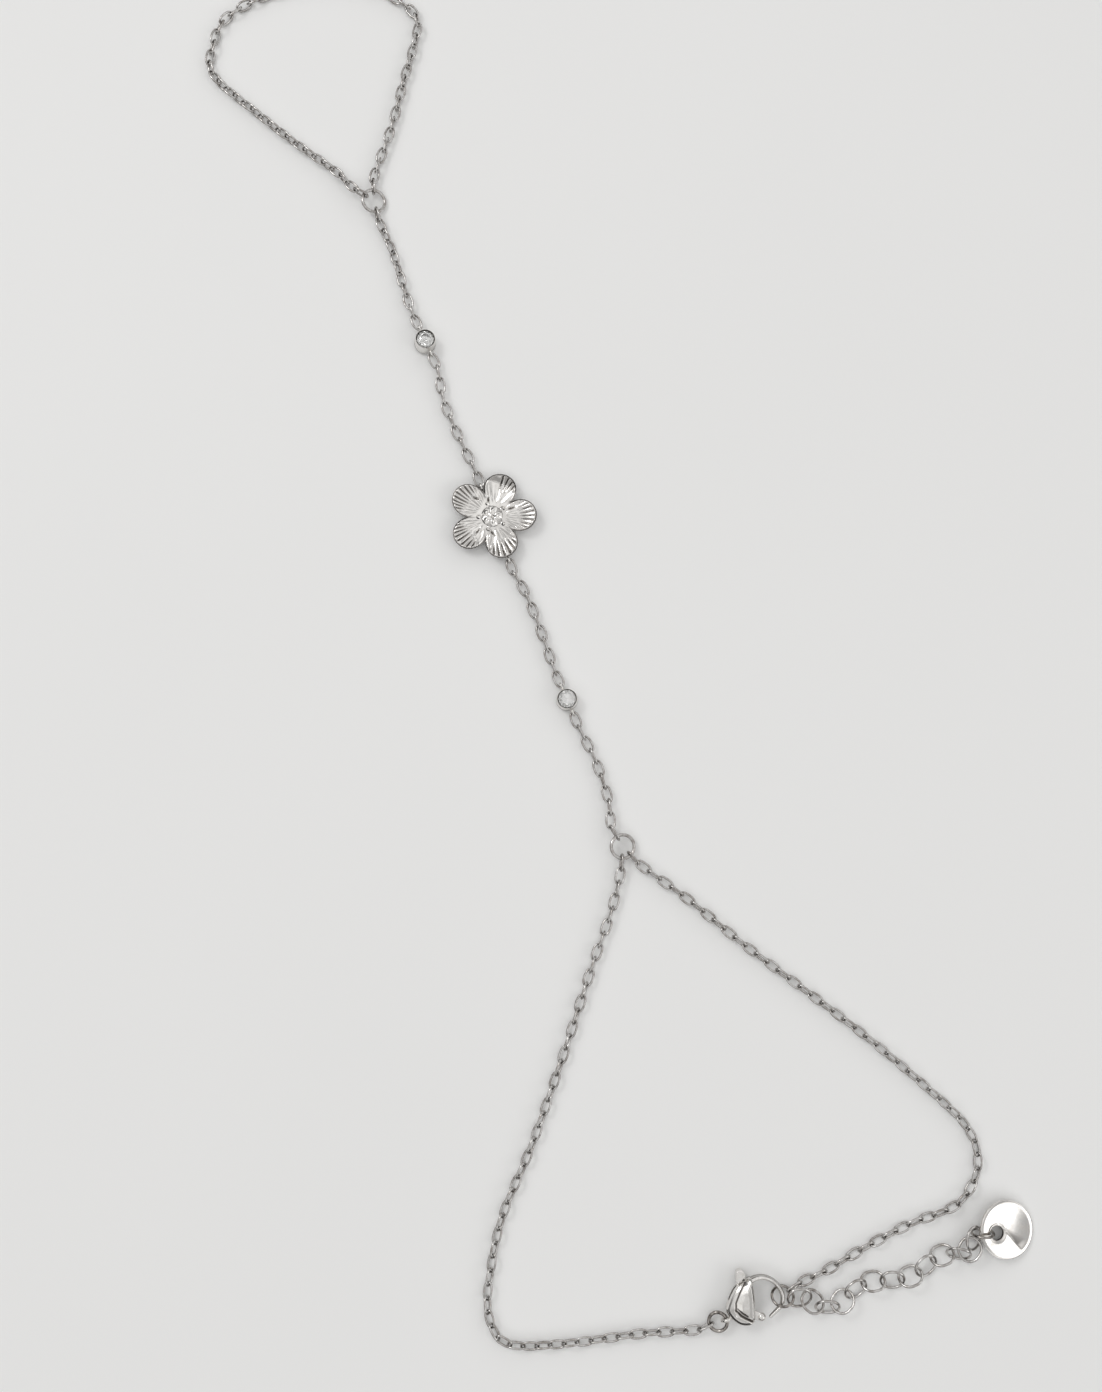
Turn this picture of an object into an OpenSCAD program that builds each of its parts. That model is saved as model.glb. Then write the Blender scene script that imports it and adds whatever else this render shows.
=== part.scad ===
/* [Chain links] */
// Outside length of a chain link
link_len = 2.35; // [2.2:0.05:2.7]
// Outside width of a chain link
link_wid = 1.34; // [1.24:0.02:1.6]
// Wire of a chain link
link_wire = 0.28; // [0.2:0.02:0.3]
// Pitch of the straight chains, link to link
chain_pitch = 1.61; // [1.45:0.01:1.62]
// Pitch of the finger loop's chain, which lies slack
finger_pitch = 1.47; // [1.3:0.01:1.62]

/* [Joining rings] */
// Outside diameter of the two rings where three chains meet
ring_d = 3.3; // [3.1:0.1:4.2]
// Wire of these rings and of the clasp's ring
ring_wire = 0.42; // [0.32:0.02:0.46]
// Outside diameter of the clasp's jump ring
clasp_ring_d = 2.6; // [2.4:0.1:3.2]

/* [Extender] */
// Outside length of an extender ring, which is slightly oval
ext_len = 3.1; // [3:0.05:3.3]
// Outside width of an extender ring
ext_wid = 2.75; // [2.6:0.05:2.9]
// Wire of an extender ring
ext_wire = 0.32; // [0.24:0.02:0.34]
// Outside diameter of the round rings at both ends of the extender
end_ring_d = 2.85; // [2.75:0.05:3]

/* [Stone settings] */
// Outside diameter of a round setting
bezel_d = 2.75; // [2.5:0.05:3.5]
// Height of a setting
bezel_h = 1.6; // [1.4:0.1:2.2]
// Diameter of the stone at its girdle
stone_d = 2.15; // [1.7:0.05:2.3]
// Wire of the small soldered eyelets
eyelet_wire = 0.28; // [0.22:0.02:0.32]
// Clear hole of an eyelet
eyelet_hole = 0.58; // [0.54:0.02:0.7]

/* [Flower] */
// Distance from the flower's centre to the middle of a petal
petal_reach = 3.55; // [3.3:0.05:4.2]
// Radius of a petal's round outline
petal_r = 2.02; // [1.8:0.02:2.1]
// Height of the petals' rim over the surface
petal_rim_h = 1.6; // [1.3:0.05:2.2]
// Depth of the flutes in the petals
flute_depth = 0.13; // [0.04:0.01:0.2]
// Flutes on each petal
flutes = 9; // [5:1:11]
// Radius of the flat round back
back_r = 2.4; // [1.8:0.1:2.7]

/* [Lobster clasp] */
// Length of the clasp from its shoulder to its nose
clasp_len = 7.15; // [6.9:0.05:7.6]
// Thickness of the clasp body
clasp_thick = 2.3; // [2.1:0.1:2.6]
// Width of the hook's wire at its root
hook_wire = 0.74; // [0.6:0.02:0.8]
// Thickness of the lever
lever_thick = 0.6; // [0.4:0.05:0.8]
// Diameter of the lever's pin
pin_d = 0.56; // [0.4:0.02:0.7]
// Running clearance between the pin and the lever's bore
pin_clear = 0.05; // [0.02:0.01:0.08]

/* [Tag] */
// Diameter of the round tag
tag_d = 6.8; // [6.2:0.1:7.4]
// Thickness of the tag at its rim
tag_thick = 0.4; // [0.3:0.05:0.8]
// Diameter of the hole in the tag
tag_hole_d = 1.7; // [1.5:0.05:1.9]
// Depth of the shallow dish in the tag's face
tag_dish = 0.16; // [0.08:0.02:0.24]

/* [Hidden] */
// Smallest clear space between two loose pieces of wire
gap = 0.14;
// Clear space between a link and the thicker wire that it hangs on
ring_gap = 0.18;
// Facets of a small circle, of a large one and of a very large one
wire_fn = 36;
arc_fn = 64;
dish_fn = 160;
steel = [0.80, 0.80, 0.79];
bright_steel = [0.90, 0.90, 0.89];
stone_white = [0.93, 0.95, 0.97];

// Where the joining pieces lie, seen from above, with the flower's centre at the origin
finger_ring_at = [-15.3, 41.1];
bezel_1_at = [-8.65, 22.5];
bezel_2_at = [9.3, -22.9];
wrist_ring_at = [16.05, -40.9];
clasp_at = [28.5, -95.8];
tag_at = [61.05, -85.9];

// How these pieces are turned and tilted, in degrees
bezel_1_turn = 114;
bezel_1_lean = 8;
bezel_2_turn = 113;
bezel_2_lean = 0;
clasp_turn = 20.8;
finger_ring_tilt = 20;
wrist_ring_tilt = 12;
clasp_ring_tilt = 14;
end_ring_tilt = 40;
tag_tilt = 14;
tag_ring_lean = -78;

// Directions in which the chains leave the rings and the flower, in degrees
finger_left_dir = 150;
finger_right_dir = 90;
finger_hand_dir = -73;
wrist_hand_dir = 120;
wrist_left_dir = -95;
wrist_right_dir = -45;
end_arm_dir = 40;
end_extender_dir = -12;
flower_up_dir = 110;
flower_down_dir = -69;

// Lean of the links in the middle of a chain, in degrees
finger_lean = 40;
wrist_left_lean = 40;

// Chosen points that the chains pass through
finger_route = [[-20.2, 45.1], [-25.4, 48.9], [-30.6, 53.1], [-36.3, 58.2], [-36.4, 62.1], [-34.7, 66.1],
                [-29, 69.3], [-22, 70.9], [-15, 69.7], [-10.2, 66.3], [-10.4, 62.2], [-11.5, 58],
                [-13.2, 50.9]];
hand_a_route = [[-12.9, 34.7], [-11.3, 29.5]];
hand_b_route = [[-6.2, 15], [-4.1, 9.9]];
hand_c_route = [[4.1, -9.4], [6.3, -15]];
hand_d_route = [[12.9, -30.7], [14.5, -35.8]];
wrist_right_route = [[24, -47.3], [29.9, -52.1], [34.8, -55.8], [44.4, -63], [52.3, -69.6], [57.1, -74.4],
                     [58.1, -78.9], [55.6, -83.1], [50, -85.3], [44.4, -88.1], [39.4, -90.9]];
wrist_left_route = [[14.6, -48.9], [12.8, -53.8], [10.9, -59.5], [8.8, -65.8], [5.2, -75.9], [1.6, -84.4],
                    [0.2, -90.7], [-0.1, -95.3], [1.9, -98.9], [8.4, -99], [18, -97.8]];
extender_route = [[37.9, -93.6], [38.7, -94.6], [42.1, -94.7], [42.1, -93.7], [43.1, -92.5],
                  [45.5, -91.6], [48.5, -91.7], [50.5, -90.9], [51.7, -89.7], [54.2, -88.4],
                  [56.1, -88.9], [57.2, -87.3]];

// Extender rings in order: [share of the run that a ring takes, lean out of the flat in degrees]
extender_rings = [[0.88, 26], [0.78, -23], [1.05, 45], [1.21, -28], [1.05, 35], [1.05, -42], [1.04, 32],
                  [0.98, -42], [1.05, 28], [1.05, -42], [0.86, 53], [0.74, -23], [1.21, 36]];
extender_count = len(extender_rings);

// Small helpers for vectors and curves
function unit(v) = v / norm(v);
function level(v) = [v.x, v.y];
function polar(angle) = [cos(angle), sin(angle), 0];
function fold(angle) = angle - 180 * round(angle / 180);
function curve_at(a, b, c, d, t) = 0.5 * (2 * b + (c - a) * t + (2 * a - 5 * b + 4 * c - d) * t * t
                                          + (3 * b - a - 3 * c + d) * t * t * t);
function smooth_curve(pts, steps = 8) = let (m = len(pts) - 1) concat(
    [for (i = [0:m - 1]) for (k = [0:steps - 1])
        curve_at(pts[max(i - 1, 0)], pts[i], pts[i + 1], pts[min(i + 2, m)], k / steps)],
    [pts[m]]);
function smooth_loop(pts, steps) = let (m = len(pts))
    [for (i = [0:m - 1]) for (k = [0:steps - 1])
        curve_at(pts[(i + m - 1) % m], pts[i], pts[(i + 1) % m], pts[(i + 2) % m], k / steps)];
function running_sum(values) = [for (i = 0, s = 0; i <= len(values);
    s = s + (i < len(values) ? values[i] : 0), i = i + 1) s];
function run_lengths(pts) = running_sum([for (i = [1:len(pts) - 1]) norm(pts[i] - pts[i - 1])]);

// A ring is [centre, first direction in its plane, second direction in its plane, radius, wire],
// with the radius taken at the middle of its wire
function flat_ring(centre, tilt, outside, wire) =
    [centre, [cos(tilt), 0, -sin(tilt)], [0, 1, 0], (outside - wire) / 2, wire];
function leaning_ring(centre, lean, outside, wire) =
    [centre, [1, 0, 0], [0, cos(lean), sin(lean)], (outside - wire) / 2, wire];
function ring_out(ring, angle) = cos(angle) * ring[1] + sin(angle) * ring[2];
function ring_along(ring, angle) = cos(angle) * ring[2] - sin(angle) * ring[1];

// An end of a chain is [first point, level direction away from the ring, roll of the first link]
function roll_on(along, wire_dir) = let (
    side = unit([-along.y, along.x, 0]),
    up = cross(along, side),
    wide = cross(along, wire_dir))
    atan2(wide * up, wide * side);
function chain_end(ring, angle, length, wire, pitch) = let (
    out = ring_out(ring, angle),
    overlap = (length - wire - pitch) / 2,
    clear = ring[4] > wire ? ring_gap : gap,
    reach = (ring[4] + wire) / 2 + clear - overlap)
    [ring[0] + out * (ring[3] - reach), unit([out.x, out.y, 0]), roll_on(out, ring_along(ring, angle))];

// Height of a link's middle line when it rests on the surface at some roll
function rest_height(roll, width, wire) = (width - wire) / 2 * abs(sin(roll)) + wire / 2;

// Plan of a chain: the curve from one end through its route to the other end
function chain_curve(first, last, route, lead) = smooth_curve(
    concat([level(first[0]), level(first[0] + first[1] * lead)], route,
           [level(last[0] + last[1] * lead), level(last[0])]));

// Lays one link per share along a curve; each link is [middle, turn, rise, roll]
function lay_links(curve, first_z, last_z, shares, rolls, width, wire, settle) = let (
    runs = run_lengths(curve),
    whole = runs[len(runs) - 1],
    count = len(shares),
    sums = running_sum(shares),
    xs = [for (i = [0:len(runs) - 1]) [runs[i], curve[i].x]],
    ys = [for (i = [0:len(runs) - 1]) [runs[i], curve[i].y]],
    joints = [for (i = [0:count]) let (
        s = whole * sums[i] / sums[count],
        floor_h = max(rest_height(rolls[max(i - 1, 0)], width, wire),
                      rest_height(rolls[min(i, count - 1)], width, wire)),
        near = max(0, 1 - s / settle),
        far = max(0, 1 - (whole - s) / settle),
        h = floor_h + (first_z - floor_h) * near * near * (3 - 2 * near)
            + (last_z - floor_h) * far * far * (3 - 2 * far))
        [lookup(s, xs), lookup(s, ys), h]])
    [for (i = [0:count - 1]) let (
        step = joints[i + 1] - joints[i],
        mid = (joints[i + 1] + joints[i]) / 2)
        [mid, atan2(step.y, step.x), asin(step.z / norm(step)), rolls[i]]];

// A chain of small links: each link is a quarter turn on from the last, with the twist that the
// two ends ask for spread over the chain, and a lean that grows toward its middle
link_lead = 0.9 * link_len;
link_settle = 3 * link_len;
function end_on(ring, angle, pitch = chain_pitch) = chain_end(ring, angle, link_len, link_wire, pitch);
function small_chain(first, last, route, pitch = chain_pitch, lean = 0) = let (
    curve = chain_curve(first, last, route, link_lead),
    runs = run_lengths(curve),
    whole = runs[len(runs) - 1],
    longest = link_len - 2 * link_wire - gap,
    count = max(2, round(whole / pitch), ceil(whole / longest)),
    twist = fold(180 - last[2] - first[2] - 90 * (count - 1)),
    rolls = [for (i = [0:count - 1]) let (t = i / (count - 1))
        first[2] + 90 * i + twist * t + lean * sin(180 * t)])
    lay_links(curve, first[0].z, last[0].z, [for (i = [1:count]) 1], rolls, link_wid, link_wire,
              link_settle);

// Puts a piece that lies along X at a link's place
module place_link(link) {
    translate(link[0])
        rotate([0, -link[2], link[1]])
            rotate([link[3], 0, 0])
                children();
}

// One link of round wire: two half rings joined by two straight bars
module wire_link(length, width, wire) {
    bend_r = (width - wire) / 2;
    straight = length - width;
    for (side = [-1, 1]) {
        translate([side * straight / 2, 0, 0])
            rotate_extrude(angle = 180, start = -90 * side, $fn = arc_fn)
                translate([bend_r, 0])
                    circle(d = wire, $fn = wire_fn);
        translate([-straight / 2, side * bend_r, 0])
            rotate([0, 90, 0])
                cylinder(h = straight, d = wire, $fn = wire_fn);
    }
}

module chain(links) {
    color(steel)
        for (link = links) place_link(link) wire_link(link_len, link_wid, link_wire);
}

// Turns a flat piece into the plane of a ring
module in_ring_plane(ring) {
    u = ring[1];
    v = ring[2];
    n = cross(u, v);
    multmatrix([[u.x, v.x, n.x, ring[0].x],
                [u.y, v.y, n.y, ring[0].y],
                [u.z, v.z, n.z, ring[0].z],
                [0, 0, 0, 1]])
        children();
}

// A round ring of wire in its own place
module wire_ring(ring) {
    in_ring_plane(ring)
        rotate_extrude($fn = arc_fn)
            translate([ring[3], 0])
                circle(d = ring[4], $fn = wire_fn);
}

// A closed skin over rings of points, with a middle point at both ends. Seen from outside the
// first end, the rings run counterclockwise.
module skin(first_tip, rings, last_tip) {
    sides = len(rings[0]);
    last = len(rings) - 1;
    points = concat([first_tip], [for (ring = rings) for (p = ring) p], [last_tip]);
    end = len(points) - 1;
    polyhedron(points, concat(
        [for (k = [0:sides - 1]) [0, 1 + (k + 1) % sides, 1 + k]],
        [for (r = [0:last - 1]) for (k = [0:sides - 1])
            let (a = 1 + r * sides + k, b = 1 + r * sides + (k + 1) % sides)
            each [[a, b + sides, a + sides], [a, b, b + sides]]],
        [for (k = [0:sides - 1]) [end, end - sides + k, end - sides + (k + 1) % sides]]));
}

// Height of the wires that chains hang on, so that an upright link still clears the surface
hang_h = link_wid / 2;
eyelet_r = (eyelet_hole + eyelet_wire) / 2;
eyelet_h = max(hang_h, eyelet_r + eyelet_wire / 2);

// Rings where three chains meet
ring_r = (ring_d - ring_wire) / 2;
finger_ring_z = hang_h + ring_r * sin(finger_ring_tilt) * cos(finger_hand_dir);
wrist_ring_z = hang_h + ring_r * sin(wrist_ring_tilt) * cos(wrist_right_dir);
finger_ring_pose = flat_ring([finger_ring_at.x, finger_ring_at.y, finger_ring_z],
                             finger_ring_tilt, ring_d, ring_wire);
wrist_ring_pose = flat_ring([wrist_ring_at.x, wrist_ring_at.y, wrist_ring_z],
                            wrist_ring_tilt, ring_d, ring_wire);

// Settings. A base is [middle of its underside, direction of its chain, direction of its axis]
bezel_sink = 0.07;
bezel_eyelet_at = bezel_d / 2 + eyelet_r - bezel_sink;
function bezel_base(at, turn, lean) =
    [[at.x, at.y, bezel_d / 2 * sin(abs(lean))], polar(turn),
     cos(lean) * [0, 0, 1] + sin(lean) * polar(turn - 90)];
function bezel_eyelet(base, side) =
    [base[0] + side * base[1] * bezel_eyelet_at + base[2] * eyelet_h,
     side * base[1], base[2], eyelet_r, eyelet_wire];
bezel_1_base = bezel_base(bezel_1_at, bezel_1_turn, bezel_1_lean);
bezel_2_base = bezel_base(bezel_2_at, bezel_2_turn, bezel_2_lean);

// Top of the cup's wall as a share of its radius at the base
bezel_taper = 0.92;

// The stone: its girdle lies a little below the setting's rim
stone_r = stone_d / 2;
stone_clear = 0.04;
girdle_h = 0.08;
crown_h = 0.16 * stone_d;
pavilion_h = 0.42 * stone_d;
table_r = 0.56 * stone_r;
girdle_drop = 0.16;
girdle_top = bezel_h - girdle_drop;
lip_clear = 0.03;
lip_r = stone_r + lip_clear;
lip_drop = 0.05;

// Flower: one eyelet stands in the notch between two petals, the other under a petal's tip
petals = 5;
petal_step = 360 / petals;
petal_tip = petal_reach + petal_r;
notch_half = min(petal_step / 2, asin(min(1, petal_r / petal_reach)));
notch_r = petal_reach * cos(notch_half)
    + sqrt(max(0, petal_r * petal_r - pow(petal_reach * sin(notch_half), 2)));
flower_turn = 74;
flower_up_out = 1.08;
flower_down_out = 0.25;
flower_up_at = notch_r + flower_up_out;
flower_down_at = petal_tip + flower_down_out;
function flower_eyelet(at, dir) =
    [[0, 0, eyelet_h] + polar(dir) * at, polar(dir), [0, 0, 1], eyelet_r, eyelet_wire];
flower_up_eyelet = flower_eyelet(flower_up_at, flower_up_dir);
flower_down_eyelet = flower_eyelet(flower_down_at, flower_down_dir);

// Clasp: X runs from the shoulder to the nose and Z is half-way up the body.
// The outlines below are drawn for a clasp of this length.
clasp_drawn_len = 7.15;
clasp_scale = clasp_len / clasp_drawn_len;
clasp_z = clasp_thick / 2;
function clasp_xy(p) = [p.x * clasp_scale, p.y * clasp_scale];
function clasp_dir(v) = [v.x * cos(clasp_turn) - v.y * sin(clasp_turn),
                         v.x * sin(clasp_turn) + v.y * cos(clasp_turn), v.z];
function clasp_point(p) = [clasp_at.x, clasp_at.y, clasp_z] + clasp_dir([p.x, p.y, 0] * clasp_scale);
clasp_outline = [[-0.32, 1], [0.15, 1.72], [0.95, 2.55], [1.87, 3.2], [3, 3.45], [3.75, 3.4],
                 [3.72, 2.7], [3.58, 2], [3.2, 0.72], [2.76, -0.45], [2.38, -1.3], [1.66, -1.54],
                 [0.77, -1.2], [0.2, -0.6], [-0.15, 0.1]];
clasp_middle = [1.7, 0.9];
// Hook stations: [x, y, width as a share of the hook's wire, height as a share of the thickness]
clasp_hook = [[3.1, 2.8, 1.1, 0.6], [3.7, 3.08, 1, 0.55], [4.4, 3.1, 0.95, 0.46], [5.15, 2.88, 0.88, 0.42],
              [5.85, 2.35, 0.8, 0.4], [6.33, 1.6, 0.76, 0.38], [6.53, 0.75, 0.75, 0.36],
              [6.42, -0.1, 0.76, 0.36], [6.05, -0.75, 0.76, 0.34], [5.45, -1.08, 0.72, 0.32],
              [4.8, -1.35, 0.64, 0.28], [4.25, -1.58, 0.54, 0.24]];
clasp_pivot = [1.45, 0.1];
clasp_knob = [3.3, -1.2];
clasp_eye_at = [-0.62, 0];
clasp_end_ring_at = [6.48, 0.05];
clasp_eye_wire = 0.4;
clasp_eye_hole = 0.68;

// The jump ring passes nearly level through the clasp's upright eyelet
clasp_ring_r = (clasp_ring_d - ring_wire) / 2;
clasp_ring_u = cos(clasp_ring_tilt) * clasp_dir([-1, 0, 0]) - sin(clasp_ring_tilt) * [0, 0, 1];
clasp_ring_pose = [clasp_point(clasp_eye_at) + clasp_ring_u * clasp_ring_r,
                   clasp_ring_u, clasp_dir([0, -1, 0]), clasp_ring_r, ring_wire];

// The end ring leans round the hook's wire
end_ring_pose = leaning_ring(clasp_point(clasp_end_ring_at), -end_ring_tilt, end_ring_d, ext_wire);

// Tag: a dished disc with its left side raised, and a ring through its hole
tag_r = tag_d / 2;
tag_margin = 1.25;
tag_hole_x = tag_margin + tag_hole_d / 2 - tag_r;
tag_hole_y = -0.3;
tag_z = tag_r * sin(tag_tilt);
tag_rim = 0.4;
tag_dish_r = tag_r - tag_rim;
tag_ring_x = 0.46;
tag_ring_z = -0.13;
function tag_point(p) = [tag_at.x + p.x * cos(tag_tilt) + p.z * sin(tag_tilt), tag_at.y + p.y,
                         tag_z - p.x * sin(tag_tilt) + p.z * cos(tag_tilt)];
tag_ring_pose = leaning_ring(tag_point([tag_ring_x - tag_r, tag_hole_y, tag_ring_z]),
                             tag_ring_lean, end_ring_d, ext_wire);

// The seven chains of small links
finger_links = small_chain(end_on(finger_ring_pose, finger_left_dir, finger_pitch),
                           end_on(finger_ring_pose, finger_right_dir, finger_pitch),
                           finger_route, finger_pitch, finger_lean);
hand_a_links = small_chain(end_on(finger_ring_pose, finger_hand_dir),
                           end_on(bezel_eyelet(bezel_1_base, 1), 0), hand_a_route);
hand_b_links = small_chain(end_on(bezel_eyelet(bezel_1_base, -1), 0),
                           end_on(flower_up_eyelet, 0), hand_b_route);
hand_c_links = small_chain(end_on(flower_down_eyelet, 0),
                           end_on(bezel_eyelet(bezel_2_base, 1), 0), hand_c_route);
hand_d_links = small_chain(end_on(bezel_eyelet(bezel_2_base, -1), 0),
                           end_on(wrist_ring_pose, wrist_hand_dir), hand_d_route);
wrist_right_links = small_chain(end_on(wrist_ring_pose, wrist_right_dir),
                                end_on(end_ring_pose, end_arm_dir), wrist_right_route);
wrist_left_links = small_chain(end_on(wrist_ring_pose, wrist_left_dir),
                               end_on(clasp_ring_pose, 0), wrist_left_route, chain_pitch, wrist_left_lean);

// The extender's rings, from the end ring to the tag's ring
ext_lead = 0.3 * ext_len;
ext_settle = 1.5 * ext_len;
ext_pitch = ext_len - 2 * ext_wire - gap;
ext_first = chain_end(end_ring_pose, end_extender_dir, ext_len, ext_wire, ext_pitch);
ext_last = chain_end(tag_ring_pose, 180, ext_len, ext_wire, ext_pitch);
extender_links = lay_links(chain_curve(ext_first, ext_last, extender_route, ext_lead),
                           ext_first[0].z, ext_last[0].z, [for (r = extender_rings) r[0]],
                           [for (r = extender_rings) r[1]], ext_wid, ext_wire, ext_settle);

module finger_chain() { chain(finger_links); }
module hand_chain_a() { chain(hand_a_links); }
module hand_chain_b() { chain(hand_b_links); }
module hand_chain_c() { chain(hand_c_links); }
module hand_chain_d() { chain(hand_d_links); }
module wrist_chain_right() { chain(wrist_right_links); }
module wrist_chain_left() { chain(wrist_left_links); }
module finger_ring() { color(steel) wire_ring(finger_ring_pose); }
module wrist_ring() { color(steel) wire_ring(wrist_ring_pose); }
module clasp_ring() { color(steel) wire_ring(clasp_ring_pose); }
module end_ring() { color(steel) wire_ring(end_ring_pose); }
module tag_ring() { color(steel) wire_ring(tag_ring_pose); }

module extender_ring(i) {
    color(steel)
        place_link(extender_links[i - 1]) wire_link(ext_len, ext_wid, ext_wire);
}

// Stands a piece on a setting's base
module on_base(base) {
    in_ring_plane([base[0], base[1], cross(base[2], base[1])])
        children();
}

// Round cup with a lip over the stone's edge, a seat under it and an eyelet on both sides
module bezel(base) {
    bezel_r = bezel_d / 2;
    seat_r = stone_r + stone_clear;
    seat_z = girdle_top - girdle_h - 2 * stone_clear;
    floor_r = 0.2;
    floor_z = 0.2;
    edge = 0.08;
    top_r = max(bezel_taper * bezel_r, seat_r + edge);
    color(bright_steel) {
        on_base(base)
            rotate_extrude($fn = arc_fn)
                polygon([[0, 0], [bezel_r - edge, 0], [bezel_r, edge], [top_r, bezel_h - edge],
                         [top_r - edge, bezel_h], [lip_r, bezel_h], [lip_r - edge, bezel_h - lip_drop],
                         [seat_r, girdle_top + stone_clear], [seat_r, seat_z], [floor_r, floor_z],
                         [0, floor_z]]);
        for (side = [-1, 1]) wire_ring(bezel_eyelet(base, side));
    }
}
module bezel_1() { bezel(bezel_1_base); }
module bezel_2() { bezel(bezel_2_base); }

// Round brilliant: a flat table of eight sides, a crown, a thin girdle and a pointed pavilion
module stone(base) {
    table = [for (k = [0:7]) polar(45 * k) * table_r + [0, 0, girdle_top + crown_h]];
    upper = [for (k = [0:15]) polar(22.5 * k) * stone_r + [0, 0, girdle_top]];
    lower = [for (k = [0:15]) polar(22.5 * k) * stone_r + [0, 0, girdle_top - girdle_h]];
    culet = [0, 0, girdle_top - girdle_h - pavilion_h];
    u = 8;
    w = u + 16;
    point = w + 16;
    color(stone_white)
        on_base(base)
            polyhedron(concat(table, upper, lower, [culet]), concat(
                [[for (k = [0:7]) 7 - k]],
                [for (k = [0:7]) each [[k, u + 2 * k, u + (2 * k + 15) % 16],
                                       [k, u + 2 * k + 1, u + 2 * k],
                                       [k, (k + 1) % 8, u + 2 * k + 1]]],
                [for (k = [0:15]) each [[u + k, u + (k + 1) % 16, w + (k + 1) % 16, w + k],
                                        [w + k, w + (k + 1) % 16, point]]]));
}
module stone_1() { stone(bezel_1_base); }
module stone_2() { stone(bezel_2_base); }

// Round outline of a petal, seen from the flower's centre, at a place on the petal's own circle
petal_columns = 4 * flutes;
function petal_edge(a) = [petal_reach + petal_r * cos(a), petal_r * sin(a)];
petal_sweep = atan2(notch_r * sin(notch_half), notch_r * cos(notch_half) - petal_reach);

// One column of the flower: [direction, distance to the rim, place across the petal from -1 to 1]
function flower_column(k) = let (
    across = 2 * k / petal_columns - 1,
    rim = petal_edge(petal_sweep * across))
    k == 0 ? [-petal_step / 2, notch_r, -1] : [atan2(rim.y, rim.x), norm(rim), across];
flower_columns = [for (p = [0:petals - 1]) for (k = [0:petal_columns - 1]) let (c = flower_column(k))
    [c[0] + petal_step * p + flower_turn, c[1], c[2], k]];

// Heights of the flower's face: a rosette of five small lobes in the middle, then five cupped and
// fluted petals with a deep notch between them
centre_h = 1;
rosette_r = 1.7;
rosette_h = 0.5;
rosette_crest = 0.85;
rosette_spread = 0.75;
rosette_valley = 0.1;
petal_thick = 0.34;
petal_curl = 1.6;
petal_shoulder = 0.7;
notch_drop = 0.3;
function rosette_height(r, across) = let (
    hump = max(0, 1 - pow((r - rosette_crest) / rosette_spread, 2)),
    lobe = (1 + cos(180 * across)) / 2)
    centre_h + rosette_h * hump * (rosette_valley + (1 - rosette_valley) * lobe);
function petal_height(t, column) = let (
    side = abs(column[2]),
    valley = pow(side, 6),
    open_h = centre_h + (petal_rim_h - centre_h) * pow(t, petal_curl) * (1 - petal_shoulder * pow(side, 4)),
    groove = flute_depth * (1 - cos(90 * column[3])) / 2 * min(1, petal_curl * t) * (1 - valley))
    open_h * (1 - valley) + (centre_h - notch_drop) * valley - groove;
function flower_point(column, r, z) = polar(column[0]) * r + [0, 0, z];
inner_rings = [0.28, 0.55, 0.85, 1.15, 1.42, rosette_r];
outer_shares = [0.12, 0.28, 0.45, 0.62, 0.8, 0.93, 1];
centre_dip = 0.1;
under_inset = 0.2;
under_r = back_r - under_inset;
under_z = 0.25;
back_overlap = 0.2;
arm_root = 0.6;

module flower() {
    face = concat(
        [for (r = inner_rings) [for (c = flower_columns) flower_point(c, r, rosette_height(r, c[2]))]],
        [for (t = outer_shares) [for (c = flower_columns)
            flower_point(c, rosette_r + (c[1] - rosette_r) * t, petal_height(t, c))]]);
    under = [for (t = [1, 0.5, 0]) [for (c = flower_columns)
        let (edge_z = petal_height(1, c) - petal_thick)
        flower_point(c, under_r + (c[1] - under_r) * t, under_z + (edge_z - under_z) * t)]];
    color(bright_steel) {
        skin([0, 0, centre_h - centre_dip], concat(face, under), [0, 0, under_z]);
        cylinder(h = under_z + back_overlap, r = back_r, $fn = arc_fn);
        flower_arm(flower_up_dir, flower_up_at);
        flower_arm(flower_down_dir, flower_down_at);
        wire_ring(flower_up_eyelet);
        wire_ring(flower_down_eyelet);
    }
}

// Stem that carries an eyelet out from the back of the flower
module flower_arm(dir, reach) {
    start = back_r - arm_root;
    rotate([0, 0, dir])
        translate([start, 0, eyelet_h])
            rotate([0, 90, 0])
                cylinder(h = reach - eyelet_r - start, d = eyelet_wire, $fn = wire_fn);
}

// Stands a piece in the clasp's own frame
module in_clasp() {
    translate([clasp_at.x, clasp_at.y, clasp_z])
        rotate([0, 0, clasp_turn])
            children();
}

// Round-shouldered body in levels from its back to its face:
// [size of the outline as a share, height as a share of the thickness]
body_levels = [[0.5, -0.5], [0.78, -0.46], [0.92, -0.38], [1, -0.22],
               [1, 0.22], [0.92, 0.38], [0.78, 0.46], [0.5, 0.5]];
module clasp_shell() {
    outline = smooth_loop(clasp_outline, 3);
    rings = [for (lv = body_levels) [for (p = outline)
        let (q = clasp_xy(clasp_middle + (p - clasp_middle) * lv[0])) [q.x, q.y, lv[1] * clasp_thick]]];
    middle = clasp_xy(clasp_middle);
    skin([middle.x, middle.y, -clasp_thick / 2], rings, [middle.x, middle.y, clasp_thick / 2]);
}

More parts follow.
